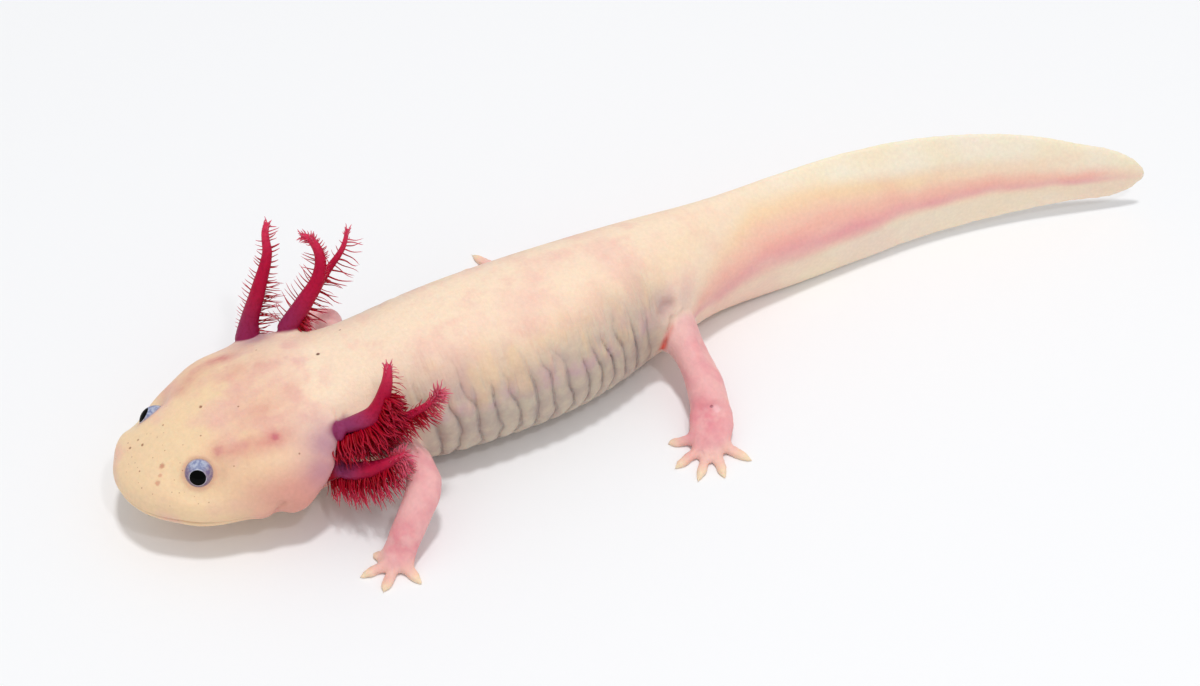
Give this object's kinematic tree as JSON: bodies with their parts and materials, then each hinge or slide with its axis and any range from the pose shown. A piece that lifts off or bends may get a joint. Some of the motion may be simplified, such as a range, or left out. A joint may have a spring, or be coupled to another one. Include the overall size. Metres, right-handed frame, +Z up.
{
  "type": "axolotl",
  "caption": "Life-size pale axolotl crawling on its belly, head a little raised, feathery red gills spread and the finned tail curving gently to one side.",
  "frame": {"origin": "on the floor, under the middle of the animal's bounding box", "axes": "+Z up, the head towards -X, the tail towards +X and the animal's left side towards -Y"},
  "size_m": [0.2316, 0.0856, 0.0392],
  "materials": {
    "skin": "moist, smooth and slightly translucent cream skin with a pink core to the tail",
    "limb": "moist, thin pink skin, yellowish at the toe tips",
    "gill": "soft, wet dark red filaments on purple-red stalks",
    "eye": "wet and glossy, lavender-blue iris round a black pupil"
  },
  "bodies": {
    "root": {"head": "skin", "lower_jaw": "skin", "eye_left": "eye", "eye_right": "eye", "neck": "skin", "trunk": "skin", "tail_base": "skin", "tail_middle": "skin", "tail_tip": "skin", "tail_fin_upper": "skin", "tail_fin_lower": "skin", "front_left_upper": "limb", "front_left_lower": "limb", "front_left_foot": "limb", "front_right_upper": "limb", "front_right_lower": "limb", "front_right_foot": "limb", "hind_left_upper": "limb", "hind_left_lower": "limb", "hind_left_foot": "limb", "hind_right_upper": "limb", "hind_right_lower": "limb", "hind_right_foot": "limb", "gill_left_upper": "gill", "gill_left_middle": "gill", "gill_left_lower": "gill", "gill_right_upper": "gill", "gill_right_middle": "gill", "gill_right_lower": "gill"}
  },
  "joints": []
}
